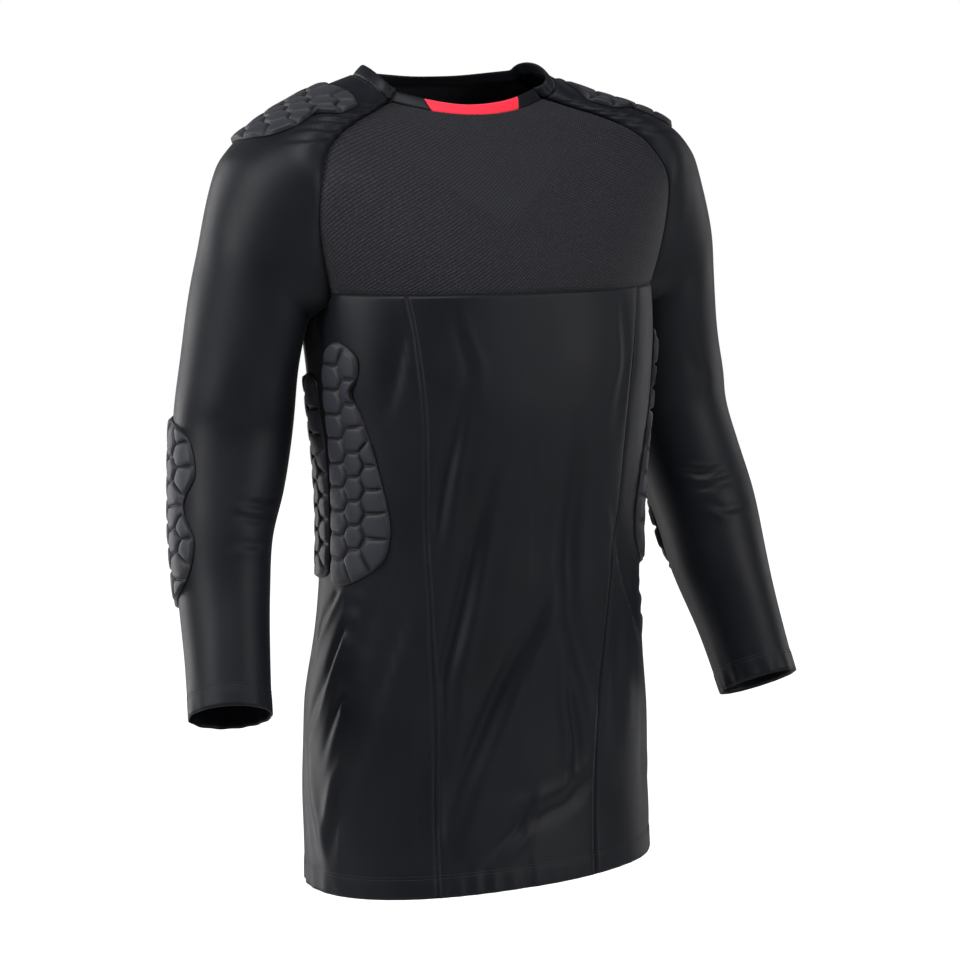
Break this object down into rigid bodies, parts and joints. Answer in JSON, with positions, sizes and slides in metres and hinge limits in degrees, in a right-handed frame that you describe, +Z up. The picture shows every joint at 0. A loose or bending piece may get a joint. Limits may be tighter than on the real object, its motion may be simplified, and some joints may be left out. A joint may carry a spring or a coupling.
{
  "type": "padded compression shirt",
  "caption": "Long close-fitting shirt with raglan sleeves to the forearm, mesh chest yoke, red neck insert and honeycomb foam pads on shoulders, elbows and ribs, in worn form",
  "frame": {"origin": "Centre of the neck opening, level with the top of the neck band at the shoulders, where the wearer holds the shirt up.", "axes": "+Z up, -Y is the wearer's front, +X is the wearer's left."},
  "size_m": [0.6173, 0.2421, 0.7478],
  "materials": {
    "jersey": "smooth black polyester and elastane jersey, soft sheen",
    "mesh_knit": "perforated charcoal mesh knit",
    "neck_rib": "folded black jersey band",
    "red_insert": "bright red jersey",
    "hex_pad": "foam cells under matt charcoal stretch film"
  },
  "bodies": {
    "root": {"chest_yoke": "mesh_knit", "back_yoke": "mesh_knit", "front_centre_panel": "jersey", "back_panel": "jersey", "side_panel_left": "jersey", "side_panel_right": "jersey", "sleeve_left": "jersey", "sleeve_right": "jersey", "neck_band": "neck_rib", "front_insert": "red_insert", "shoulder_pad_left": "hex_pad", "shoulder_pad_right": "hex_pad", "elbow_pad_left": "hex_pad", "elbow_pad_right": "hex_pad", "rib_pad_front_left": "hex_pad", "rib_pad_front_right": "hex_pad", "rib_pad_back_left": "hex_pad", "rib_pad_back_right": "hex_pad"}
  },
  "joints": []
}
